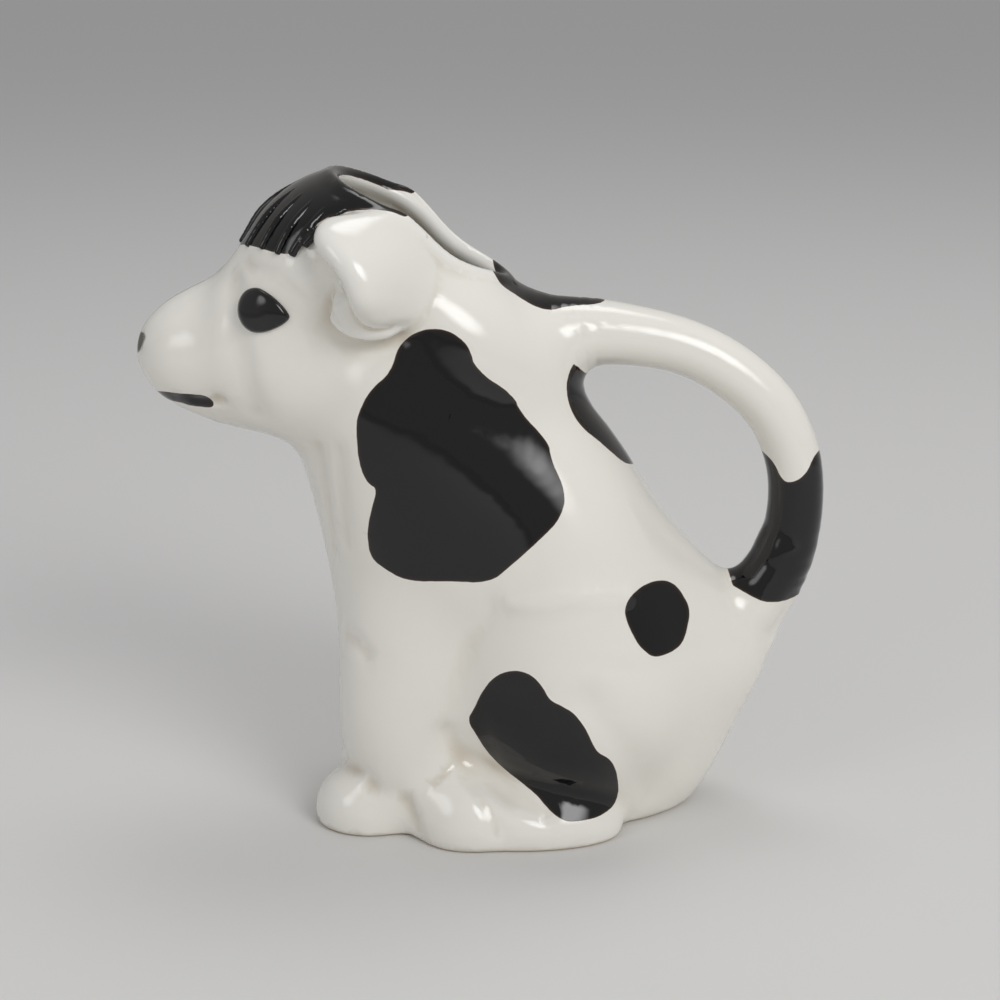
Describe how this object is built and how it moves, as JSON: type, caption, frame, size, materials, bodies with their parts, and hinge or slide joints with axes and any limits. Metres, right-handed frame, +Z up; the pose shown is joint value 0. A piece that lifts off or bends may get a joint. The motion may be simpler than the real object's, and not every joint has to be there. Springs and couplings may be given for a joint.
{
  "type": "cream jug",
  "caption": "Cream jug shaped as a sitting calf: open crown to fill, pour hole in the muzzle, tail curved into a handle, black patches on ivory glaze.",
  "frame": {"origin": "centre of the jug's length and width, on the table", "axes": "-X towards the nose, +X towards the tail, +Z up, -Y towards the calf's left side"},
  "size_m": [0.1451, 0.0654, 0.1396],
  "materials": {
    "ivory_glaze": "gloss",
    "black_glaze": "gloss"
  },
  "bodies": {
    "root": {"body_shell": "ivory_glaze", "tail_handle": "ivory_glaze", "left_ear": "ivory_glaze", "right_ear": "ivory_glaze", "forelock": "black_glaze", "left_eye": "black_glaze", "right_eye": "black_glaze"}
  },
  "joints": []
}
